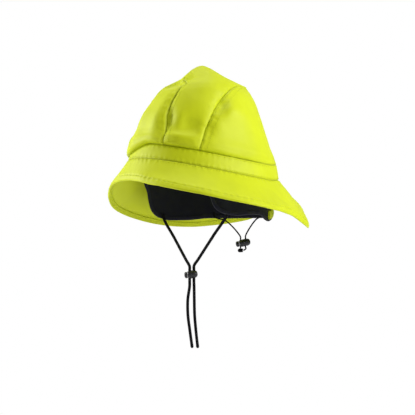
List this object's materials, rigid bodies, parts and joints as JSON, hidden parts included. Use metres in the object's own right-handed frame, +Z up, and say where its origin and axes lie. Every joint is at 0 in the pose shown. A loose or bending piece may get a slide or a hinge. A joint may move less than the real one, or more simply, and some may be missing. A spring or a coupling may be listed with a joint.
{
  "type": "sou'wester rain hat",
  "caption": "Bright yellow sou'wester rain hat with panelled crown, band, sloping brim, navy ear and neck flap, chin cord and nape drawcord.",
  "frame": {"origin": "centre of the head band at the height of its lower edge, where the hat sits on a head", "axes": "+Z up as worn, front of the hat towards -Y, the wearer's left side towards +X"},
  "size_m": [0.2697, 0.2704, 0.3819],
  "materials": {
    "shell_cloth": "smooth hi-vis yellow softshell cloth",
    "tunnel_cloth": "hi-vis yellow cloth strip",
    "flap_cloth": "dark navy brushed fleece",
    "cord": "black braided cord",
    "elastic": "black covered elastic cord",
    "cord_lock": "dark grey moulded plastic, satin"
  },
  "bodies": {
    "root": {"crown_front_panel": "shell_cloth", "crown_left_panel": "shell_cloth", "crown_right_panel": "shell_cloth", "crown_back_panel": "shell_cloth", "head_band": "shell_cloth", "brim": "shell_cloth", "ear_neck_flap": "flap_cloth", "drawcord_tunnel": "tunnel_cloth", "chin_cord_left": "cord", "chin_cord_right": "cord", "chin_lock_barrel": "cord_lock", "chin_lock_button": "cord_lock", "nape_cord_left": "elastic", "nape_cord_right": "elastic", "nape_cord_knot": "elastic", "nape_lock_barrel": "cord_lock", "nape_lock_button": "cord_lock"}
  },
  "joints": []
}
